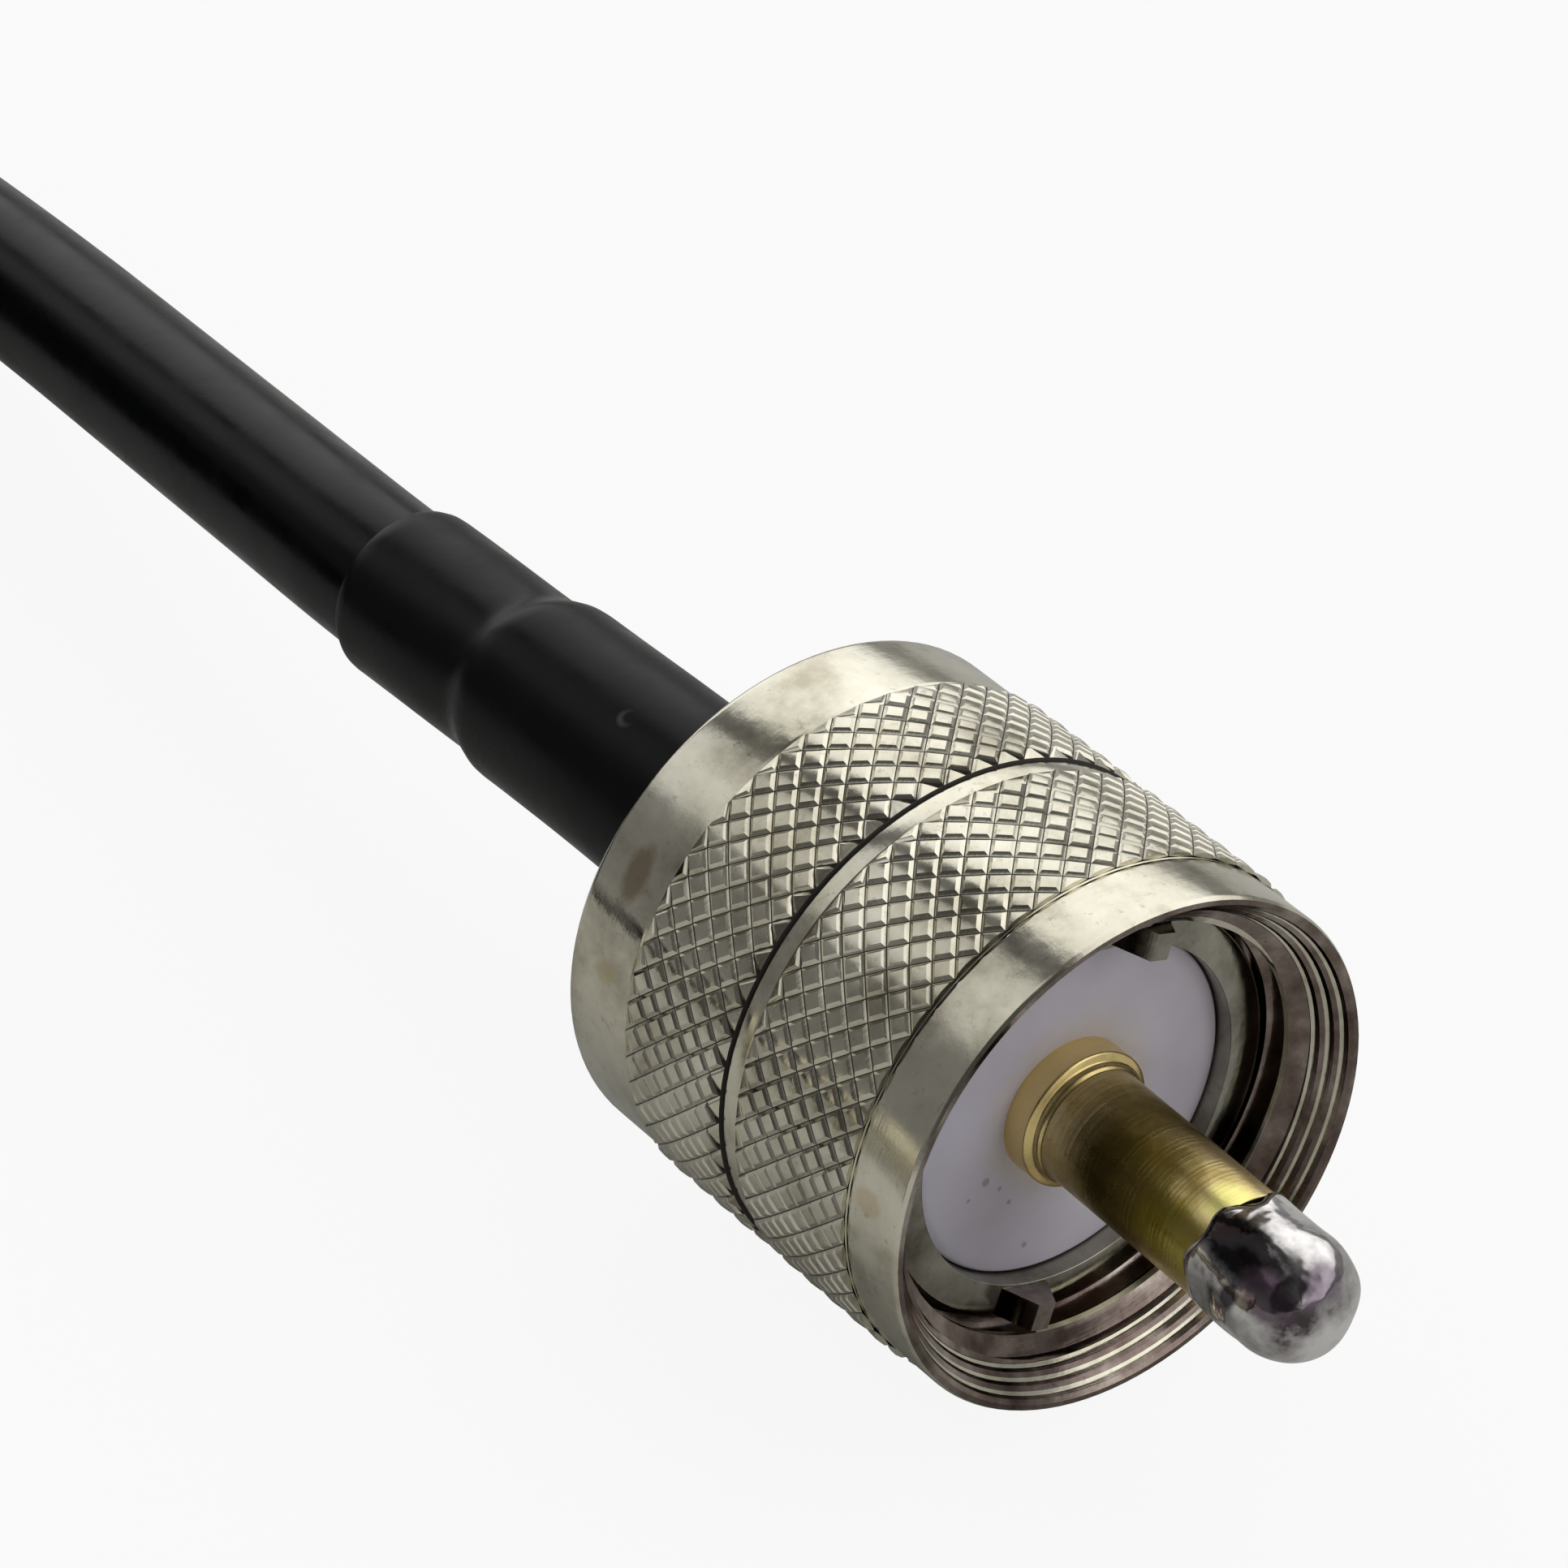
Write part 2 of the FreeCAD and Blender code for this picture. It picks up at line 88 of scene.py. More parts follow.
# The sleeve over the ferrule, and the cable
SLEEVE_RADIUS, SLEEVE_STEP, SLEEVE_REAR = 3.38, -28.6, -36.2
FERRULE_REAR = -27.5
CABLE_R = 2.7

# The nuts lie on their knurl
FLOOR = -KNURL_TOP


# Node material helpers


def new_material(name):
    material = bpy.data.materials.new(name)
    material.use_nodes = True
    tree = material.node_tree
    shader = tree.nodes["Principled BSDF"]
    return material, tree, shader


def add(tree, kind, **settings):
    """A new node with its properties and, for names that are sockets, its inputs set."""
    node = tree.nodes.new(kind)
    for key, value in settings.items():
        if hasattr(node, key):
            setattr(node, key, value)
        else:
            node.inputs[key.replace("_", " ")].default_value = value
    return node


def link(tree, source, target):
    tree.links.new(source, target)


def place(tree, scale=(1, 1, 1), offset=(0, 0, 0)):
    """Object coordinates in metres, moved and scaled."""
    coords = tree.nodes.new("ShaderNodeTexCoord")
    mapping = tree.nodes.new("ShaderNodeMapping")
    mapping.inputs["Location"].default_value = offset
    mapping.inputs["Scale"].default_value = scale
    link(tree, coords.outputs["Object"], mapping.inputs["Vector"])
    return mapping.outputs["Vector"]


def noise(tree, where, scale, detail=4.0, roughness=0.55):
    node = tree.nodes.new("ShaderNodeTexNoise")
    node.inputs["Scale"].default_value = scale
    node.inputs["Detail"].default_value = detail
    node.inputs["Roughness"].default_value = roughness
    link(tree, where, node.inputs["Vector"])
    return node.outputs["Fac"]


def ramp(tree, source, stops):
    """A colour ramp; stops are (position, grey or colour)."""
    node = tree.nodes.new("ShaderNodeValToRGB")
    elements = node.color_ramp.elements
    while len(elements) < len(stops):
        elements.new(0.5)
    for element, (position, tone) in zip(elements, stops):
        element.position = position
        element.color = (tone, tone, tone, 1) if isinstance(tone, float) else (*tone, 1)
    link(tree, source, node.inputs["Fac"])
    return node.outputs["Color"]


# The Mix node's sockets for its factor and its two colours, and its colour result
MIX_INPUTS, MIX_RESULT = (0, 6, 7), 2


def mixed(tree, factor, first, second, blend="MIX"):
    """A colour mix; each of the three is a socket or a constant."""
    node = tree.nodes.new("ShaderNodeMix")
    node.data_type = "RGBA"
    node.blend_type = blend
    for index, value in zip(MIX_INPUTS, (factor, first, second)):
        socket = node.inputs[index]
        if isinstance(value, bpy.types.NodeSocket):
            link(tree, value, socket)
        elif isinstance(value, float):
            socket.default_value = value
        else:
            socket.default_value = (*value, 1)
    return node.outputs[MIX_RESULT]


def bump(tree, shader, heights, strength, distance):
    node = tree.nodes.new("ShaderNodeBump")
    node.inputs["Strength"].default_value = strength
    node.inputs["Distance"].default_value = distance
    link(tree, heights, node.inputs["Height"])
    link(tree, node.outputs["Normal"], shader.inputs["Normal"])


# Materials


def nickel_material(name, tones, marks=()):
    """Worn nickel plate over brass: warm grey, with cloudy tarnish and fine turning marks."""
    material, tree, shader = new_material(name)
    shader.inputs["Metallic"].default_value = 1.0
    where = place(tree)
    clouds = noise(tree, where, 330.0, 7.0, 0.62)
    tone = ramp(tree, clouds, [(0.34, tones[0]), (0.50, tones[1]), (0.68, tones[2])])
    specks = noise(tree, where, 2200.0, 3.0, 0.7)
    speck_tone = tuple(0.5 * c for c in tones[0])
    tone = mixed(tree, ramp(tree, specks, [(0.60, 0.0), (0.72, 0.4)]), tone, speck_tone)
    for mark in marks:
        tone = spot(tree, tone, **mark)
    link(tree, tone, shader.inputs["Base Color"])
    rough = ramp(tree, noise(tree, where, 700.0, 6.0, 0.65), [(0.3, 0.08), (0.7, 0.20)])
    link(tree, rough, shader.inputs["Roughness"])
    waves = noise(tree, where, 260.0, 3.0, 0.5)
    turning = noise(tree, place(tree, scale=(9000.0, 40.0, 40.0)), 1.0, 4.0, 0.7)
    grain = noise(tree, where, 2600.0, 4.0, 0.6)
    fine = mixed(tree, 0.5, turning, grain)
    bump(tree, shader, mixed(tree, 0.12, waves, fine), 0.5, 0.00013)
    return material


def spot(tree, tone, at, angle, half, colour, strength, ragged=0.5, centre=(0, 0, 0)):
    """A ragged mark on a turned surface.

    at is its (x, radius), angle its place about the axis in degrees, half its half length and half width.
    """
    moved = place(tree, offset=tuple(-c * MM for c in centre))
    turn = tree.nodes.new("ShaderNodeMapping")
    turn.inputs["Rotation"].default_value = (-math.radians(angle), 0, 0)
    link(tree, moved, turn.inputs["Vector"])
    local = tree.nodes.new("ShaderNodeMapping")
    scale = (1 / half[0], 1 / half[1], 1 / half[1])
    local.inputs["Scale"].default_value = tuple(s / MM for s in scale)
    local.inputs["Location"].default_value = (-at[0] * scale[0], -at[1] * scale[1], 0)
    link(tree, turn.outputs["Vector"], local.inputs["Vector"])
    length = add(tree, "ShaderNodeVectorMath", operation="LENGTH")
    link(tree, local.outputs["Vector"], length.inputs[0])
    spread = add(tree, "ShaderNodeMath", operation="MULTIPLY_ADD")
    link(tree, noise(tree, place(tree), 900.0, 6.0, 0.75), spread.inputs[0])
    spread.inputs[1].default_value = -2 * ragged
    link(tree, length.outputs["Value"], spread.inputs[2])
    # Brought into 0 to 1, where the ramp works
    shift = add(tree, "ShaderNodeMath", operation="MULTIPLY_ADD")
    link(tree, spread.outputs["Value"], shift.inputs[0])
    shift.inputs[1].default_value = 0.4
    shift.inputs[2].default_value = 0.4 * ragged
    near = ramp(tree, shift.outputs["Value"], [(0.26, strength), (0.44, 0.0)])
    return mixed(tree, near, tone, colour)


def gold_material(name, centre):
    """Thin plating on the centre pin: olive, with a painted highlight on the collar, painted dark reflection
    on the side towards the camera, and bright yellow before the solder.
    """
    material, tree, shader = new_material(name)
    shader.inputs["Metallic"].default_value = 1.0
    where = place(tree)
    clouds = noise(tree, where, 420.0, 6.0, 0.62)
    tone = ramp(tree, clouds, [(0.36, GOLD_TONES[0]), (0.52, GOLD_TONES[1]), (0.68, GOLD_TONES[2])])
    for mark in PIN_MARKS:
        tone = spot(tree, tone, centre=centre, **mark)
    link(tree, tone, shader.inputs["Base Color"])
    link(tree, ramp(tree, clouds, [(0.35, 0.36), (0.65, 0.24)]), shader.inputs["Roughness"])
    turning = noise(tree, place(tree, scale=(6000.0, 60.0, 60.0)), 1.0)
    bump(tree, shader, mixed(tree, 0.4, clouds, turning), 0.4, 0.00008)
    return material


def solder_material(name, centre):
    """Bright lumpy solder, with painted dark reflections along its side and a painted purple reflection
    towards the tip.
    """
    material, tree, shader = new_material(name)
    shader.inputs["Metallic"].default_value = 1.0
    where = place(tree)
    clouds = noise(tree, where, 420.0, 6.0, 0.6)
    tone = ramp(tree, clouds, [(0.36, SOLDER_TONES[0]), (0.43, SOLDER_TONES[1]), (0.60, SOLDER_TONES[2])])
    for mark in SOLDER_MARKS:
        tone = spot(tree, tone, centre=centre, **mark)
    link(tree, tone, shader.inputs["Base Color"])
    rough = ramp(tree, noise(tree, where, 900.0), [(0.3, 0.05), (0.7, 0.16)])
    link(tree, rough, shader.inputs["Roughness"])
    bump(tree, shader, noise(tree, where, 420.0, 3.0, 0.5), 0.5, 0.00035)
    return material


def insulator_material():
    """Pale lavender plastic, with a painted warm halo of shade and gold light round the pin, and a few dark
    specks.
    """
    material, tree, shader = new_material("insulator_plastic")
    where = place(tree)
    clouds = noise(tree, where, 260.0, 4.0)
    tone = ramp(tree, clouds, [(0.3, (0.58, 0.55, 0.64)), (0.7, (0.67, 0.64, 0.73))])
    for mark in INSULATOR_MARKS:
        tone = spot(tree, tone, **mark)
    link(tree, tone, shader.inputs["Base Color"])
    shader.inputs["Roughness"].default_value = 0.42
    bump(tree, shader, noise(tree, where, 2500.0, 3.0), 0.15, 0.00003)
    return material


def black_material(name, tone, rough, grain_scale, grain, marks=()):
    """Black polymer with a faint sheen and fine scuffs."""
    material, tree, shader = new_material(name)
    where = place(tree)
    clouds = noise(tree, where, 120.0, 5.0)
    low = tuple(0.6 * c for c in tone)
    colour = ramp(tree, clouds, [(0.3, low), (0.75, tone)])
    for mark in marks:
        colour = spot(tree, colour, **mark)
    link(tree, colour, shader.inputs["Base Color"])
    shader.inputs["Specular IOR Level"].default_value = POLYMER_SHEEN
    sheen = ramp(tree, noise(tree, where, 450.0, 4.0), [(0.3, rough - 0.06), (0.7, rough + 0.08)])
    link(tree, sheen, shader.inputs["Roughness"])
    bump(tree, shader, noise(tree, where, grain_scale, 4.0, 0.6), 0.3, grain)
    return material


def plain_material(name, tone, metallic, rough):
    """A plain finish with slight clouds, for what is hidden or small."""
    material, tree, shader = new_material(name)
    shader.inputs["Metallic"].default_value = metallic
    clouds = noise(tree, place(tree), 900.0, 4.0)
    low = tuple(0.8 * c for c in tone)
    link(tree, ramp(tree, clouds, [(0.3, low), (0.7, tone)]), shader.inputs["Base Color"])
    shader.inputs["Roughness"].default_value = rough
    bump(tree, shader, clouds, 0.2, 0.00003)
    return material


def stain_or_painted_light(x, radius, angle, half, colour, strength, ragged=0.5):
    """What spot() needs to know about one mark, whether a real stain or painted light and shade."""
    return {
        "at": (x, radius),
        "angle": angle,
        "half": half,
        "colour": colour,
        "strength": strength,
        "ragged": ragged,
    }


PLATED = ((0.42, 0.39, 0.30), (0.63, 0.60, 0.485), (0.74, 0.71, 0.60))
# Painted shade and reflection: brown nickel tones for the nut's inside, its rim and the lower tooth,
# standing in for the interior mirroring itself in shade
INTERIOR_SHADE_TONES = ((0.08, 0.055, 0.045), (0.20, 0.155, 0.135), (0.42, 0.37, 0.32))
DULL = ((0.14, 0.13, 0.10), (0.28, 0.27, 0.22), (0.42, 0.40, 0.34))
GOLD_TONES = ((0.38, 0.28, 0.08), (0.60, 0.47, 0.20), (0.74, 0.61, 0.32))
SOLDER_TONES = ((0.08, 0.07, 0.07), (0.38, 0.36, 0.36), (0.80, 0.78, 0.76))
SHRINK_TONE, SHRINK_ROUGH = (0.0026, 0.0028, 0.003), 0.31
JACKET_TONE, JACKET_ROUGH = (0.003, 0.0034, 0.004), 0.24
POLYMER_SHEEN = 0.13

# The brown stain on the rear collar, the yellowish one beside it and the orange one on the front collar
NUT_MARKS = (
    stain_or_painted_light(-12.5, COLLAR, 146, (0.55, 1.15), (0.34, 0.25, 0.15), 0.75),
    stain_or_painted_light(-12.4, COLLAR, 168, (0.5, 0.4), (0.45, 0.38, 0.20), 0.5),
    stain_or_painted_light(1.0, COLLAR, 170, (0.7, 0.5), (0.52, 0.38, 0.22), 0.5),
)
# The collar painted brighter all round, a painted highlight; darker olive patches on the side towards the
# camera, a painted reflection of the dark room; a smaller darker olive one on top; and the yellow one before
# the solder
PIN_MARKS = (
    stain_or_painted_light(-0.2, 2.3, 150, (0.75, 9.0), (0.90, 0.71, 0.32), 0.9),
    stain_or_painted_light(4.4, 2.0, 150, (2.5, 2.1), (0.19, 0.14, 0.02), 0.85),
    stain_or_painted_light(6.8, 2.0, 165, (1.8, 1.3), (0.30, 0.24, 0.03), 0.8),
    stain_or_painted_light(5.4, 2.0, 100, (0.9, 0.5), (0.22, 0.17, 0.05), 0.6),
    stain_or_painted_light(7.5, 2.0, 102, (0.8, 0.9), (0.84, 0.78, 0.27), 0.9),
)
# Painted reflections of the dark room: black along the side and at the edge, and purple towards the tip
SOLDER_MARKS = (
    stain_or_painted_light(9.4, 2.1, 132, (2.1, 0.95), (0.012, 0.010, 0.012), 0.97),
    stain_or_painted_light(8.2, 2.1, 122, (0.7, 0.6), (0.03, 0.02, 0.02), 0.95),
    stain_or_painted_light(10.9, 1.9, 152, (1.3, 0.8), (0.13, 0.09, 0.12), 0.85),
    stain_or_painted_light(9.6, 2.0, 172, (0.4, 0.5), (0.03, 0.02, 0.03), 0.9),
    stain_or_painted_light(11.6, 1.2, 100, (0.5, 1.0), (0.22, 0.18, 0.22), 0.8),
)
# A crescent scuff: a pale round, most of it covered again by a black one
SHRINK_MARKS = (
    stain_or_painted_light(-21.65, 3.39, 114, (0.38, 0.38), (0.08, 0.08, 0.09), 0.8, 0.1),
    stain_or_painted_light(-21.55, 3.39, 112, (0.38, 0.38), (0.003, 0.003, 0.003), 1.0, 0.1),
)
JACKET_MARKS = (stain_or_painted_light(-42.2, 3.4, 120, (0.25, 0.3), (0.2, 0.2, 0.2), 0.7),)


def speck(y, z, size):
    """A dark speck on the insulator's face."""
    angle = math.degrees(math.atan2(z, y))
    return stain_or_painted_light(INSULATOR_FACE, math.hypot(y, z), angle, (0.3, size), (0.20, 0.18, 0.26), 0.6, 0.9)


# The painted warm halo round the pin, shade with light thrown back from its gold, and the specks
INSULATOR_MARKS = (
    stain_or_painted_light(INSULATOR_FACE, 0, 0, (0.6, 3.3), (0.60, 0.50, 0.34), 0.45, 0.4),
    speck(-3.04, -1.58, 0.15),
    speck(-2.5, -2.1, 0.1),
    speck(-2.13, -2.79, 0.11),
    speck(-3.72, -1.98, 0.08),
    speck(-1.5, -4.8, 0.12),
)

NICKEL = {
    "": nickel_material("nickel_plate", PLATED, NUT_MARKS),
    "far_": nickel_material("nickel_plate_far", PLATED),
}
# A shaded copy of the nickel, painted brown for the inside of the nut
THREAD = nickel_material("thread_painted_shade", INTERIOR_SHADE_TONES)
NICKEL_BODY = nickel_material("nickel_plate_body", DULL)
# Painted shade: a dark flat finish for the knurl's groove bottoms and the step at the groove's rear
GROOVE_PAINTED_SHADE = plain_material("groove_painted_shade", (0.035, 0.03, 0.026), 0.0, 0.6)
GOLD = {prefix: gold_material(prefix + "gold_plate", centre) for prefix, centre in PLUGS.items()}
SOLDER = {prefix: solder_material(prefix + "solder", centre) for prefix, centre in PLUGS.items()}
INSULATOR = insulator_material()
SHRINK = black_material("shrink_tube", SHRINK_TONE, SHRINK_ROUGH, 1500.0, 0.00003, SHRINK_MARKS)
JACKET = black_material("cable_jacket", JACKET_TONE, JACKET_ROUGH, 2200.0, 0.00002, JACKET_MARKS)
BRAID = plain_material("tinned_braid", (0.62, 0.60, 0.56), 1.0, 0.35)
DIELECTRIC = plain_material("white_dielectric", (0.82, 0.82, 0.80), 0.0, 0.5)
COPPER = plain_material("copper_wire", (0.72, 0.42, 0.26), 1.0, 0.3)


# Mesh helpers


def made(name, points, faces, materials, body, smooth_under=35.0, painted=None):
    """A mesh object from points in millimetres, riding on a body; painted gives each face's material."""
    mesh = bpy.data.meshes.new(name)
    mesh.from_pydata([Vector(p) * MM for p in points], [], faces)
    mesh.update()
    mesh.polygons.foreach_set("use_smooth", [True] * len(mesh.polygons))
    mesh.set_sharp_from_angle(angle=math.radians(smooth_under))
    for material in materials:
        mesh.materials.append(material)
    if painted:
        mesh.polygons.foreach_set("material_index", painted)
    mesh.validate()
    piece = bpy.data.objects.new(name, mesh)
    scene.collection.objects.link(piece)
    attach(piece, body)
    return piece


def softened(profile, steps=3):
    """An outline of (x, r) from one of (x, r, rounding), with each rounded corner as a short curve."""
    outline = []
    count = len(profile)
    for i, (x, r, rounding) in enumerate(profile):
        if rounding <= 0 or i in (0, count - 1):
            outline.append((x, r))
            continue
        here = Vector((x, r))
        back = Vector(profile[i - 1][:2]) - here
        ahead = Vector(profile[i + 1][:2]) - here
        reach = min(rounding, 0.45 * back.length, 0.45 * ahead.length)
        start, end = here + back.normalized() * reach, here + ahead.normalized() * reach
        for k in range(steps + 1):
            f = k / steps
            outline.append(tuple(start * (1 - f) ** 2 + here * (2 * f * (1 - f)) + end * f**2))
    return outline


def tube_faces(rings, segments, closed=False):
    """The faces between rings of points that lie one after another; closed joins the last to the first."""
    faces = []
    for j in range(rings if closed else rings - 1):
        low, high = j * segments, (j + 1) % rings * segments
        for k in range(segments):
            n = (k + 1) % segments
            faces.append((low + k, high + k, high + n, low + n))
    return faces


def lathe(outline, centre, closed=False, segments=SEGMENTS):
    """Points and faces of an outline of (x, r) turned about the plug's axis."""
    points = []
    for x, r in outline:
        for k in range(segments):
            a = TAU * k / segments
            points.append((centre.x + x, centre.y + r * math.cos(a), centre.z + r * math.sin(a)))
    return points, tube_faces(len(outline), segments, closed)


# The places of a nut's or body's materials: the plate, brown for painted shade and reflection inside, and
# dark for painted shade in the grooves
PLATE, BROWN, DARK = range(3)


def joined(*parts):
    """Several parts' points and faces as one; a part's third list, if any, gives each face's material."""
    points, faces, painted = [], [], []
    for more_points, more_faces, *more_painted in parts:
        start = len(points)
        points += more_points
        faces += [tuple(start + i for i in face) for face in more_faces]
        painted += more_painted[0] if more_painted else [PLATE] * len(more_faces)
    return points, faces, painted


# Coupling nut


def knurl(first, last, rows, centre):
    """A band of diamonds between two stations, with V grooves whose bottoms are painted dark as shade."""
    advance = (last - first) / rows
    half_step = TAU / STARTS / 2
    # Each diamond's rings from the groove's bottom up: its share of the full width and its radius
    rings = (
        (1.0, KNURL_FLOOR),
        (0.95, KNURL_FLOOR + 0.008),
        (0.73, KNURL_TOP - 0.055),
        (0.63, KNURL_TOP - 0.027),
    )
    points, faces, painted = [], [], []
    for row in range(rows + 1):
        x = first + row * advance
        for start in range(STARTS):
            angle = (2 * start + row % 2) * half_step
            base = len(points)
            for scale, radius in rings + ((0.0, KNURL_TOP),):
                spread = ((1, 0), (0, 1), (-1, 0), (0, -1)) if scale else ((0, 0),)
                for dx, da in spread:
                    at = min(max(x + dx * scale * advance, first), last)
                    turn = angle + da * scale * half_step
                    high = min(radius, COLLAR) if at in (first, last) else radius
                    points.append((
                        centre.x + at,
                        centre.y + high * math.cos(turn),
                        centre.z + high * math.sin(turn),
                    ))
            for ring in range(len(rings) - 1):
                for side in range(4):
                    a = base + 4 * ring + side
                    b = base + 4 * ring + (side + 1) % 4
                    faces.append((a, b, b + 4, a + 4))
                    # The groove bottom ring gets the painted shade
                    painted.append(PLATE if ring else DARK)
            top = base + 4 * (len(rings) - 1)
            for side in range(4):
                faces.append((top + side, top + (side + 1) % 4, top + 4))
                painted.append(PLATE)
    return points, faces, painted


def inner_thread(mouth, end, centre):
    """The nut's internal thread as a strip that follows its helix, cut back at the mouth by a cone."""
    # The groove's depth over one pitch, as a share of the whole
    shape = (0.0, 0.0, 0.3, 0.7, 1.0, 1.0, 1.0, 0.7, 0.3, 0.0)
    per_turn = len(shape)
    depth = THREAD_MAJOR - THREAD_MINOR
    cone_slope = 2
    rows = int((mouth - end) / THREAD_PITCH * per_turn) + per_turn + 1
    points, faces, painted = [], [], []
    for j in range(rows):
        for k in range(SEGMENTS + 1):
            turn = k / SEGMENTS
            x = end + (j / per_turn - 1 + turn) * THREAD_PITCH
            at = min(max(x, end), mouth)
            radius = THREAD_MINOR + depth * shape[j % per_turn]
            radius = max(radius, THREAD_MAJOR - cone_slope * (mouth - at))
            a = TAU * turn
            points.append((
                centre.x + at,
                centre.y + radius * math.cos(a),
                centre.z + radius * math.sin(a),
            ))
    width = SEGMENTS + 1
    for j in range(rows - 1):
        crest = shape[j % per_turn] == shape[(j + 1) % per_turn] == 0
        for k in range(SEGMENTS):
            corner = j * width + k
            faces.append((corner, corner + 1, corner + width + 1, corner + width))
            # The thread's flanks get the painted brown shade; the crests stay plated
            painted.append(PLATE if crest else BROWN)
    return points, faces, painted


def coupling_nut(prefix, centre):
    """The knurled nut: two collars, two knurled bands with a groove between, its thread and its mouth."""
    front_collar = softened([
        (FRONT_BAND, KNURL_FLOOR - 0.05, 0),
        (FRONT_BAND + 0.05, COLLAR - 0.03, 0.02),
        (FRONT_BAND + 0.16, COLLAR, 0.04),
        (NUT_FRONT - 0.13, COLLAR, 0.06),
        (NUT_FRONT, COLLAR - 0.08, 0.04),
    ])
    rim = [(NUT_FRONT, COLLAR - 0.08), (NUT_FRONT, MOUTH)]
    # The mouth narrows in fine ridges, each with painted brown shade in front and bright plate behind
    mouth = [(NUT_FRONT, MOUTH)]
    for step in range(MOUTH_RIDGES):
        at, r = NUT_FRONT - MOUTH_STEP * step, MOUTH - MOUTH_RISE * step
        mouth += [
            (at - 0.10, r - 0.14),
            (at - 0.24, r - 0.20),
            (at - 0.29, r - 0.13),
            (at - MOUTH_STEP, r - MOUTH_RISE),
        ]
    mouth_tones = ([BROWN] * 2 + [PLATE] * 2) * MOUTH_RIDGES
    wall = [
        (GROOVE_REAR, COLLAR),
        (GROOVE_REAR + 0.02, COLLAR - 0.13),
        (GROOVE_REAR + 0.06, COLLAR - 0.12),
    ]
    groove = softened([
        (GROOVE_REAR + 0.06, COLLAR - 0.12, 0),
        (GROOVE_REAR + 0.13, COLLAR - 0.08, 0.05),
        (GROOVE_REAR + 0.42, COLLAR - 0.07, 0.1),
        (GROOVE_FRONT - 0.12, COLLAR - 0.1, 0.1),
        (GROOVE_FRONT - 0.02, COLLAR - 0.22, 0.03),
        (GROOVE_FRONT, COLLAR, 0),
    ])
    rear_collar = softened([
        (THREAD_END, THREAD_MINOR, 0),
        (THREAD_END, RELIEF_RADIUS, 0),
        (LIP_FRONT, RELIEF_RADIUS, 0.3),
        (LIP_FRONT, LIP_RADIUS, 0.1),
        (NUT_REAR, LIP_RADIUS, 0.15),
        (NUT_REAR, COLLAR - 0.25, 0.1),
        (NUT_REAR + 0.25, COLLAR, 0.12),
        (REAR_BAND - 0.12, COLLAR, 0.03),
        (REAR_BAND - 0.03, COLLAR - 0.03, 0.02),
        (REAR_BAND, KNURL_FLOOR - 0.05, 0),
    ])
    points, faces, painted = joined(
        lathe(front_collar, centre),
        # The front rim gets the painted brown shade
        lathe(rim, centre) + ([BROWN] * SEGMENTS,),
        lathe(mouth, centre) + ([tone for tone in mouth_tones for _ in range(SEGMENTS)],),
        # The step at the groove's rear gets the painted shade
        lathe(wall, centre) + ([DARK] * SEGMENTS * (len(wall) - 1),),
        lathe(groove, centre),
        lathe(rear_collar, centre),
        knurl(GROOVE_FRONT, FRONT_BAND, FRONT_ROWS, centre),
        knurl(REAR_BAND, GROOVE_REAR, REAR_ROWS, centre),
        inner_thread(mouth[-1][0], THREAD_END, centre),
    )
    # Plate, the painted brown shade of the inside, and the painted shade of the grooves
    materials = (NICKEL[prefix], THREAD, GROOVE_PAINTED_SHADE)
    body = NUT_BODY[prefix]
    nut = made(prefix + "knurled_nut", points, faces, materials, body, 28.0, painted)
    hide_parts(prefix + "coupling_nut")


# Plug body, insulator, pin and solder


def tooth(centre, angle, tone):
    """A locating tooth: a ridge that points forward, its length along the radius."""
    inner, outer = POCKET_RADIUS + 0.05, BODY_RADIUS - 0.21
    half, crest, tall, root = 0.95, 0.34, 1.15, 0.2
    section = [(-half, -root), (-half, 0), (-crest, tall), (crest, tall), (half, 0), (half, -root)]
    turn = angle - math.pi / 2
    points = []
    for radius in (inner, outer):
        for across, forward in section:
            points.append((
                centre.x + forward,
                centre.y + across * math.cos(turn) - radius * math.sin(turn),
                centre.z + across * math.sin(turn) + radius * math.cos(turn),
            ))
    count = len(section)
    faces = [tuple(range(count)), tuple(range(2 * count - 1, count - 1, -1))]
    faces += [(i, count + i, count + (i + 1) % count, (i + 1) % count) for i in range(count)]
    return points, faces, [tone] * len(faces)


def plug_body(prefix, centre):
    """The turned body: its contact face is at the plug's origin, its stem goes back into the sleeve."""
    outline = softened([
        (CHAMBER_STEP, POCKET_RADIUS, 0),
        (0, POCKET_RADIUS, 0.05),
        (0, BODY_RADIUS, 0.12),
        (BODY_REAR, BODY_RADIUS, 0.15),
        (BODY_REAR, NECK_RADIUS, 0.1),
        (NECK_REAR, NECK_RADIUS, 0.15),
        (NECK_REAR, STEM_RADIUS, 0.05),
        (STEM_REAR, STEM_RADIUS, 0.05),
        (STEM_REAR, STEM_BORE, 0.03),
        (CHAMBER_REAR, STEM_BORE, 0),
        (CHAMBER_REAR, CHAMBER_RADIUS, 0),
        (CHAMBER_STEP, CHAMBER_RADIUS, 0),
    ])
    points, faces, painted = joined(
        lathe(outline, centre, closed=True),
        tooth(centre, TOOTH_ANGLE, PLATE),
        # The lower tooth gets the painted brown shade and reflection of the interior
        tooth(centre, TOOTH_ANGLE + math.pi, BROWN),
    )
    # The second material is the painted brown shade, for the lower tooth
    materials = (NICKEL_BODY, THREAD)
    body = made(prefix + "turned_body", points, faces, materials, LEAD, painted=painted)
    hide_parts(prefix + "plug_body")


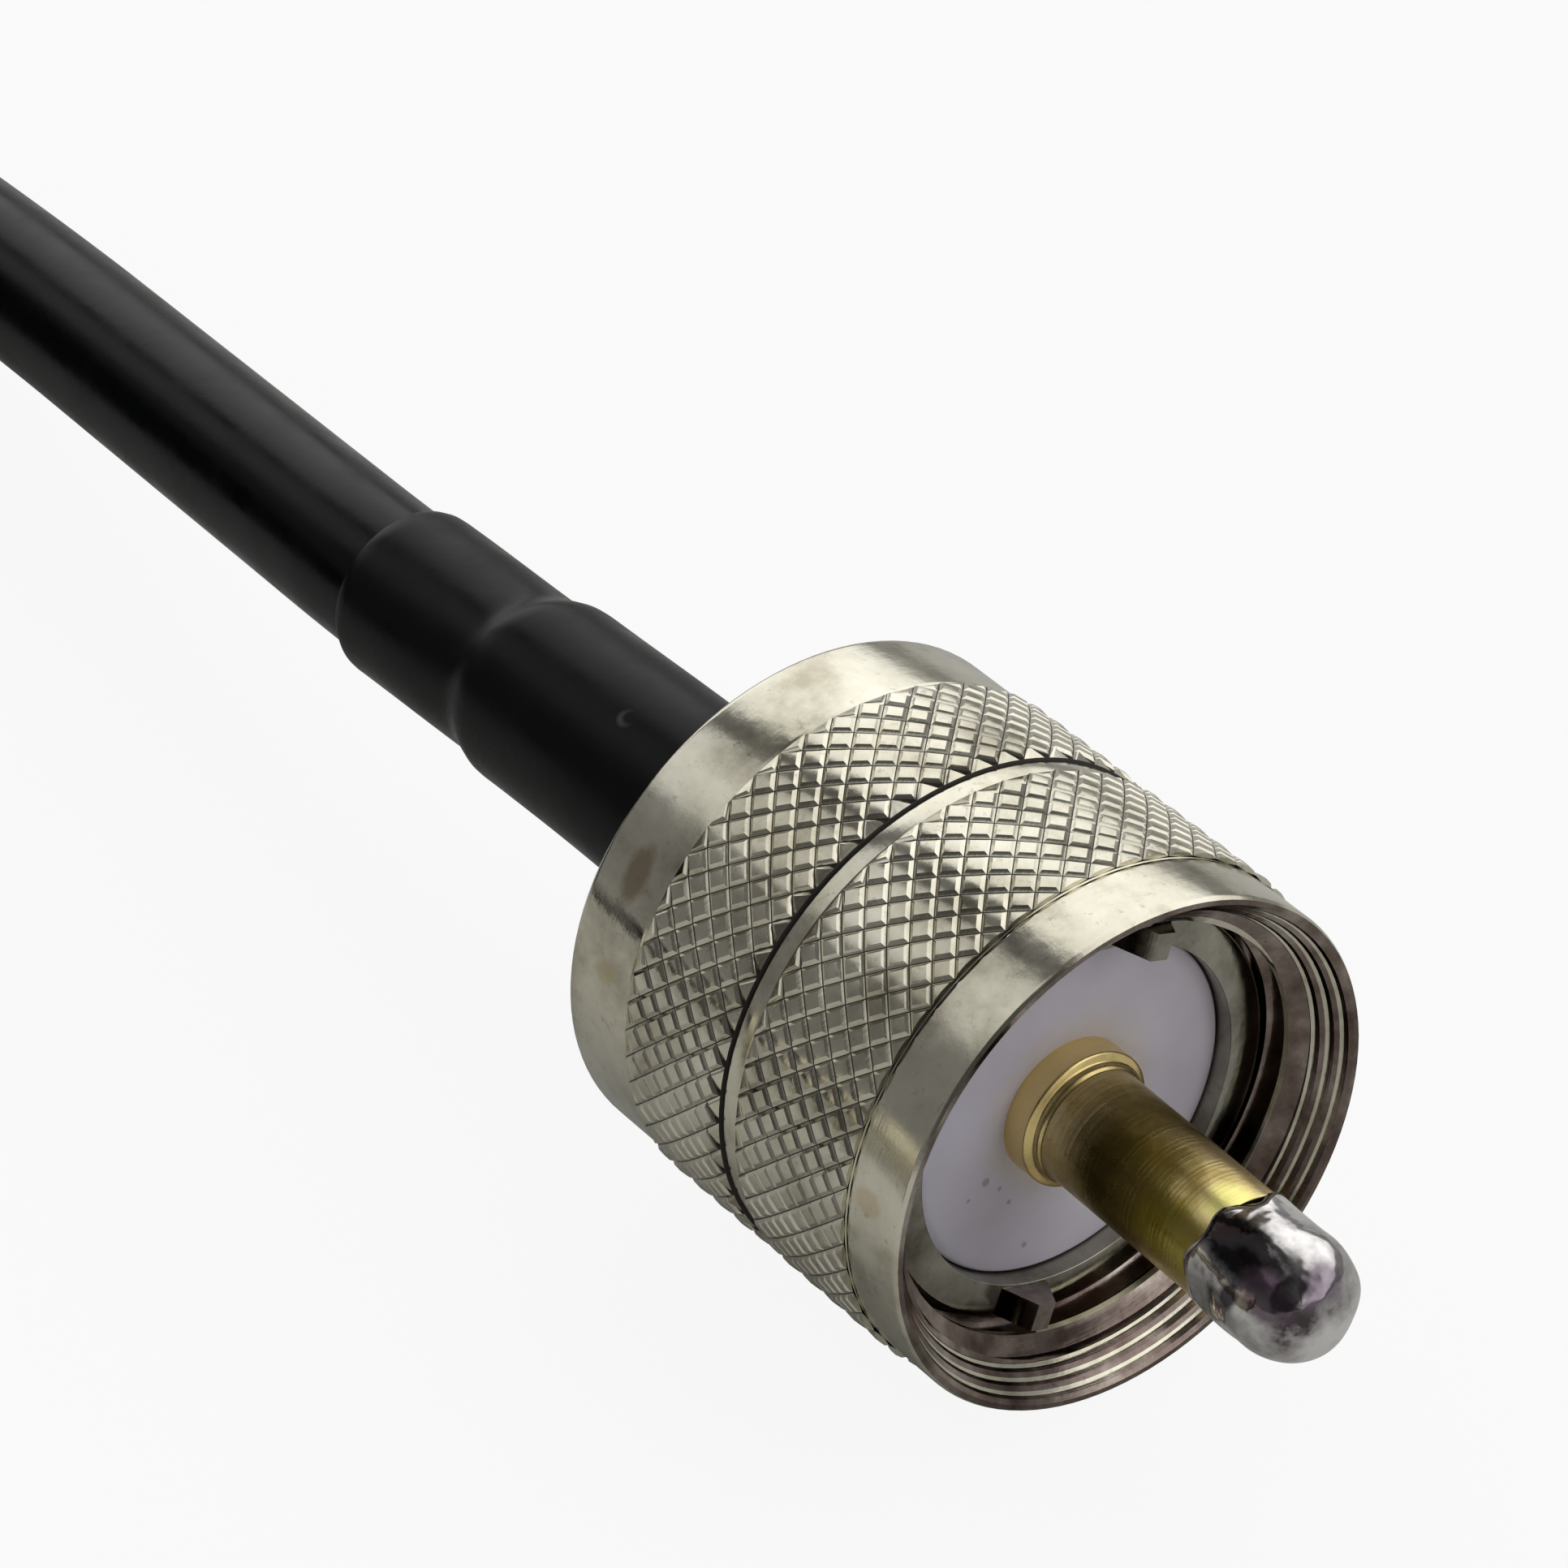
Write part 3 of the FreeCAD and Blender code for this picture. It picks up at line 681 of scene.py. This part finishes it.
def insulator(prefix, centre):
    """The insulator, set back from the contact face, with a thin gap to the body round it."""
    wide, narrow = POCKET_RADIUS - INSULATOR_GAP, CHAMBER_RADIUS - INSULATOR_GAP
    outline = softened([
        (INSULATOR_FACE, INSULATOR_BORE, 0),
        (INSULATOR_FACE, wide, 0.12),
        (CHAMBER_STEP, wide, 0.05),
        (CHAMBER_STEP, narrow, 0.05),
        (CHAMBER_REAR, narrow, 0.1),
        (CHAMBER_REAR, INSULATOR_BORE, 0),
    ])
    points, faces = lathe(outline, centre, closed=True)
    piece = made(prefix + "moulded_insulator", points, faces, [INSULATOR], LEAD)
    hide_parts(prefix + "insulator")


def bent(point, centre):
    """The pin stands a little crooked: it leans down and aside in front of the contact face."""
    x, y, z = point
    out = max(0.0, x - centre.x)
    return x, y - 0.009 * out, z - 0.017 * out


def centre_pin(prefix, centre):
    """The hollow pin, with a small bead in front of the collar that stands on the insulator."""
    outline = softened([
        (PIN_END, PIN_BORE, 0),
        (PIN_END, PIN_RADIUS, 0.1),
        (0.66, PIN_RADIUS, 0.05),
        (0.58, PIN_RADIUS + 0.10, 0.05),
        (0.40, PIN_RADIUS + 0.12, 0.05),
        (0.36, PIN_RADIUS + 0.18, 0.03),
        (0.28, PIN_COLLAR, 0.07),
        (INSULATOR_FACE, PIN_COLLAR, 0),
        (INSULATOR_FACE, PIN_TAIL_RADIUS, 0),
        (CHAMBER_REAR, PIN_TAIL_RADIUS, 0),
        (CHAMBER_REAR, PIN_BORE, 0),
    ])
    points, faces = lathe(outline, centre, closed=True, segments=96)
    points = [bent(point, centre) for point in points]
    pin = made(prefix + "gold_pin", points, faces, [GOLD[prefix]], LEAD)
    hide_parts(prefix + "centre_pin")


def solder_tip(prefix, centre, seed):
    """The solder that closes the pin, with the lumpy edge where it wetted the plating."""
    chance = random.Random(seed)
    phases = [(n, chance.uniform(0, TAU), chance.uniform(0.4, 1.0)) for n in (1, 2, 3, 5, 7)]
    segments, rings = 96, 40
    points = []
    for j in range(rings + 1):
        f = j / rings
        for k in range(segments):
            a = TAU * k / segments
            wave = sum(size * math.sin(n * a + phase) for n, phase, size in phases) / 3
            start = SOLDER_START + 0.4 * wave + 0.3 * math.cos(a - SOLDER_HIGH)
            x = start + (SOLDER_TIP - start) * math.sin(f * math.pi / 2)
            along = max(0.0, (x - SOLDER_DOME) / (SOLDER_TIP - SOLDER_DOME))
            lump = 0.02 * math.sin(3 * a + 1.6 * x) + 0.015 * math.sin(5 * a - 2.1 * x)
            radius = SOLDER_RADIUS * max(0.0, 1 - along**2.5) ** 0.4 * (1 + lump)
            if j == 0:
                radius = PIN_RADIUS - 0.01
            elif x < SOLDER_START + 1.0:
                radius = max(radius, PIN_RADIUS + 0.03)
            point = (centre.x + x, centre.y + radius * math.cos(a), centre.z + radius * math.sin(a))
            points.append(bent(point, centre))
    faces = tube_faces(rings + 1, segments)
    piece = made(prefix + "solder_blob", points, faces, [SOLDER[prefix]], LEAD, 60.0)
    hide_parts(prefix + "solder_tip")


def droop(x):
    """How far the near sleeve has settled at a station: to the side and down."""
    behind_nut = max(0.0, NUT_REAR - x)
    behind_ferrule = max(0.0, FERRULE_REAR - x)
    return -0.0045 * behind_nut, -0.018 * behind_nut - 0.027 * behind_ferrule


def heat_shrink(prefix, centre, seed):
    """Tube shrunk over the ferrule, its step and the cable."""
    chance = random.Random(seed)
    two_fold, three_fold, step_turn, end_turn = (chance.uniform(0, TAU) for _ in range(4))
    key = [
        (NUT_REAR, SLEEVE_RADIUS),
        (-20.0, 3.39),
        (-27.8, SLEEVE_RADIUS),
        (-28.1, 3.36),
        (-28.5, 3.24),
        (-28.9, 3.1),
        (-29.3, 3.05),
        (-33.0, 3.04),
        (-35.6, 3.04),
        (-35.9, 3.02),
        (SLEEVE_REAR, 2.92),
        (SLEEVE_REAR, 2.74),
    ]
    segments = 96
    outline = []
    for (x0, r0), (x1, r1) in zip(key, key[1:]):
        steps = max(1, int(abs(x1 - x0) / 0.4))
        outline += [(x0 + (x1 - x0) * s / steps, r0 + (r1 - r0) * s / steps) for s in range(steps)]
    outline.append(key[-1])
    points = []
    for x, r in outline:
        aside, sag = droop(x) if centre == NEAR else (0.0, 0.0)
        near_step = max(0.0, 1 - abs(x - SLEEVE_STEP) / 2.5)
        near_end = max(0.0, 1 - abs(x - SLEEVE_REAR) / 1.0)
        for k in range(segments):
            a = TAU * k / segments
            ripple = 0.025 * math.sin(2 * a + two_fold + 0.35 * x)
            ripple += 0.02 * math.sin(3 * a + three_fold - 0.5 * x)
            edge = 0.35 * math.sin(a + step_turn) * near_step + 0.2 * math.sin(a + end_turn) * near_end
            radius = r + (ripple if r > 2.8 else 0.0)
            points.append((
                centre.x + x + edge,
                centre.y + aside + radius * math.cos(a),
                centre.z + sag + radius * math.sin(a),
            ))
    faces = tube_faces(len(outline), segments)
    piece = made(prefix + "shrunk_tube", points, faces, [SHRINK], LEAD, 60.0)
    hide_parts(prefix + "heat_shrink")


INNER_PIECES = {
    "crimp_ferrule": NICKEL_BODY,
    "braid_end": BRAID,
    "dielectric_end": DIELECTRIC,
    "centre_conductor_end": COPPER,
}
SOLDER_SEED, SLEEVE_SEED = 11, 31

for plug, (prefix, centre) in enumerate(PLUGS.items()):
    coupling_nut(prefix, centre)
    plug_body(prefix, centre)
    insulator(prefix, centre)
    centre_pin(prefix, centre)
    solder_tip(prefix, centre, SOLDER_SEED + plug)
    heat_shrink(prefix, centre, SLEEVE_SEED + plug)
    for node, material in INNER_PIECES.items():
        solid = frame["nodes"][prefix + node].data
        solid.materials.clear()
        solid.materials.append(material)


# Cable

OUTER_TURN, INNER_TURN = 31.7, 26.3
COIL = Vector((-112.0, -OUTER_TURN, 0))
LAYERS = [FLOOR + CABLE_R * (1 + 2 * layer) for layer in range(3)]
# From the near sleeve down to the surface, and from the coil's side to the far sleeve
RUN_ROUTE = [
    (-28.3, -0.06, -0.3),
    (-36.2, -0.1, -0.63),
    (-44.0, 0.6, -1.51),
    (-54.0, 1.49, -2.64),
    (-64.0, 2.38, -3.76),
    (-78.0, 2.9, -5.1),
    (-91.0, 1.3, -6.2),
    (-103.0, 0.1, -6.48),
]
TAIL_ROUTE = [
    (-104.0, -63.4, -1.08),
    (-96.0, -63.3, -1.05),
    (-88.0, -62.6, -0.9),
    (-76.0, -60.4, -0.4),
    (-66.0, -58.5, -0.08),
    (-58.0, -58.0, 0),
    (-48.3, -58.0, 0),
]
# Each turn's place in the coil: its radius and its layer, from the bottom up
SLOTS = [
    (OUTER_TURN, 0),
    (INNER_TURN, 0),
    (INNER_TURN, 1),
    (INNER_TURN, 2),
    (OUTER_TURN, 2),
    (OUTER_TURN, 1),
]
# The share of each turn after which it moves to the next place, once the turn after it has left that one.
# The last turn stays where it is.
MOVES = [0.78, 0.70, 0.69, 0.61, 0.53, 1.0]
MOVE_LENGTH = 0.23
TURNS, POINTS_A_TURN = 5.5, 24


def coil_points():
    """The coil's turns; the last one lies outermost, so that the cable leaves without crossing itself."""
    points = []
    for k in range(int(TURNS * POINTS_A_TURN) + 1):
        turns = k / POINTS_A_TURN
        turn = int(turns)
        part = turns - turn
        ease = min(1.0, max(0.0, (part - MOVES[turn]) / MOVE_LENGTH))
        ease = 2 * ease**2 if ease < 0.5 else 1 - 2 * (1 - ease) ** 2
        here, following = SLOTS[turn], SLOTS[min(turn + 1, len(SLOTS) - 1)]
        radius = here[0] + (following[0] - here[0]) * ease
        low, high = LAYERS[here[1]], LAYERS[following[1]]
        height = low + (high - low) * ease
        angle = math.pi / 2 + TAU * turns
        points.append((COIL.x + radius * math.cos(angle), COIL.y + radius * math.sin(angle), height))
    return points


def cable():
    """The whole cable between the two sleeves as one smooth cord; the far plug goes with it."""
    curve = bpy.data.curves.new("coaxial_cable", "CURVE")
    curve.dimensions = "3D"
    curve.bevel_depth = CABLE_R * MM
    curve.bevel_resolution = 12
    curve.resolution_u = 10
    curve.use_fill_caps = True
    spline = curve.splines.new("NURBS")
    route = RUN_ROUTE + coil_points() + TAIL_ROUTE
    spline.points.add(len(route) - 1)
    for point, at in zip(spline.points, route):
        point.co = (*(c * MM for c in at), 1)
    spline.order_u = 3
    spline.use_endpoint_u = True
    curve.materials.append(JACKET)
    piece = bpy.data.objects.new("coaxial_cable", curve)
    scene.collection.objects.link(piece)
    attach(piece, LEAD)
    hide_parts("cable_run", "cable_coil", "cable_tail")


cable()


# Floor, lights and world

FLOOR_TONE = (0.62, 0.62, 0.60, 1)
FLOOR_GLOW = 0.91
FLOOR_HALF = 2500.0
FLOOR_GAP = 0.02


def floor():
    """A pale surface under the object that the camera sees nearly white, with the soft shadow left in it."""
    material, tree, shader = new_material("pale_floor")
    shader.inputs["Roughness"].default_value = 0.9
    output = tree.nodes["Material Output"]
    shader.inputs["Base Color"].default_value = FLOOR_TONE
    glow = add(tree, "ShaderNodeEmission", Color=(1, 1, 1, 1), Strength=1.0)
    rays = tree.nodes.new("ShaderNodeLightPath")
    share = add(tree, "ShaderNodeMath", operation="MULTIPLY")
    link(tree, rays.outputs["Is Camera Ray"], share.inputs[0])
    share.inputs[1].default_value = FLOOR_GLOW
    both = tree.nodes.new("ShaderNodeMixShader")
    link(tree, share.outputs["Value"], both.inputs["Fac"])
    link(tree, shader.outputs["BSDF"], both.inputs[1])
    link(tree, glow.outputs["Emission"], both.inputs[2])
    link(tree, both.outputs["Shader"], output.inputs["Surface"])
    mesh = bpy.data.meshes.new("floor")
    sides = ((-1, -1), (1, -1), (1, 1), (-1, 1))
    corners = [(FLOOR_HALF * x, FLOOR_HALF * y, FLOOR - FLOOR_GAP) for x, y in sides]
    mesh.from_pydata([Vector(c) * MM for c in corners], [], [(0, 1, 2, 3)])
    mesh.materials.append(material)
    plane = bpy.data.objects.new("floor", mesh)
    scene.collection.objects.link(plane)


LAMP_AT, LAMP_SIZE, LAMP_POWER = Vector((190, -190, 110)), 50, 0.06


def softbox():
    """A weak lamp from the front that aims at the near plug; the metal doesn't mirror it."""
    data = bpy.data.lights.new("left", "AREA")
    data.shape = "RECTANGLE"
    data.size = data.size_y = LAMP_SIZE * MM
    data.energy = LAMP_POWER
    lamp = bpy.data.objects.new("left", data)
    lamp.location = LAMP_AT * MM
    lamp.visible_glossy = False
    lamp.rotation_euler = (NEAR - LAMP_AT).to_track_quat("-Z", "Y").to_euler()
    scene.collection.objects.link(lamp)


# The room's brightness by the angle about the plug's axis, from +Y over the top to -Y
ROOM = [
    (0, 0.26), (14, 0.32), (19, 1.2), (38, 1.5), (62, 1.4), (82, 1.15), (86, 0.14), (96, 0.13), (100, 0.7),
    (116, 0.85), (130, 0.66), (136, 0.24), (150, 0.19), (168, 0.20), (180, 0.22),
]
# A colour ramp holds no more than 1, so the room's brightness is stored as a share of this
ROOM_GAIN = 2.0
# The room is dark round the place that the photograph was taken from
CAMERA_SIDE = (0.6475, -0.4831, 0.5894)
DARK_ROUND_CAMERA = ((0.70, 0.0), (0.82, 0.95))
DARK_TONE = (0.06, 0.06, 0.06)


def world():
    """The room that the metal mirrors, in bands along the plug's axis; the camera sees plain white."""
    space = bpy.data.worlds.new("studio")
    space.use_nodes = True
    scene.world = space
    tree = space.node_tree
    background = tree.nodes["Background"]
    background.inputs["Strength"].default_value = 1.0
    coords = tree.nodes.new("ShaderNodeTexCoord")
    split = tree.nodes.new("ShaderNodeSeparateXYZ")
    link(tree, coords.outputs["Generated"], split.inputs["Vector"])
    angle = add(tree, "ShaderNodeMath", operation="ARCTAN2")
    link(tree, split.outputs["Z"], angle.inputs[0])
    link(tree, split.outputs["Y"], angle.inputs[1])
    part = add(tree, "ShaderNodeMath", operation="DIVIDE")
    link(tree, angle.outputs["Value"], part.inputs[0])
    part.inputs[1].default_value = math.pi
    room = ramp(tree, part.outputs["Value"], [(degrees / 180, tone / ROOM_GAIN) for degrees, tone in ROOM])
    room = mixed(tree, 1.0, room, (ROOM_GAIN,) * 3, "MULTIPLY")
    towards = add(tree, "ShaderNodeVectorMath", operation="DOT_PRODUCT")
    link(tree, coords.outputs["Generated"], towards.inputs[0])
    towards.inputs[1].default_value = CAMERA_SIDE
    dark = ramp(tree, towards.outputs["Value"], DARK_ROUND_CAMERA)
    room = mixed(tree, dark, room, DARK_TONE)
    rays = tree.nodes.new("ShaderNodeLightPath")
    shown = mixed(tree, rays.outputs["Is Camera Ray"], room, (1, 1, 1))
    link(tree, shown, background.inputs["Color"])


floor()
world()
softbox()


# Camera at the photograph's angle

CAMERA_AT = Vector((135.22, -112.06, 140.52))
CAMERA_RIGHT = Vector((0.59794, 0.80154, 0.0))
CAMERA_UP = Vector((-0.47242, 0.35242, 0.80785))


def camera():
    """The lens and the place that the photograph was taken with, as worked out from the nut's outline."""
    data = bpy.data.cameras.new("camera")
    data.sensor_width = 36.0
    data.lens = 169.5
    data.shift_y = -0.0016
    data.clip_start = 0.01
    data.clip_end = 20.0
    eye = bpy.data.objects.new("camera", data)
    back = CAMERA_RIGHT.cross(CAMERA_UP)
    turned = Matrix((CAMERA_RIGHT, CAMERA_UP, back)).transposed().to_4x4()
    eye.matrix_world = Matrix.Translation(CAMERA_AT * MM) @ turned
    scene.collection.objects.link(eye)
    scene.camera = eye


camera()
scene.view_settings.view_transform = "Standard"
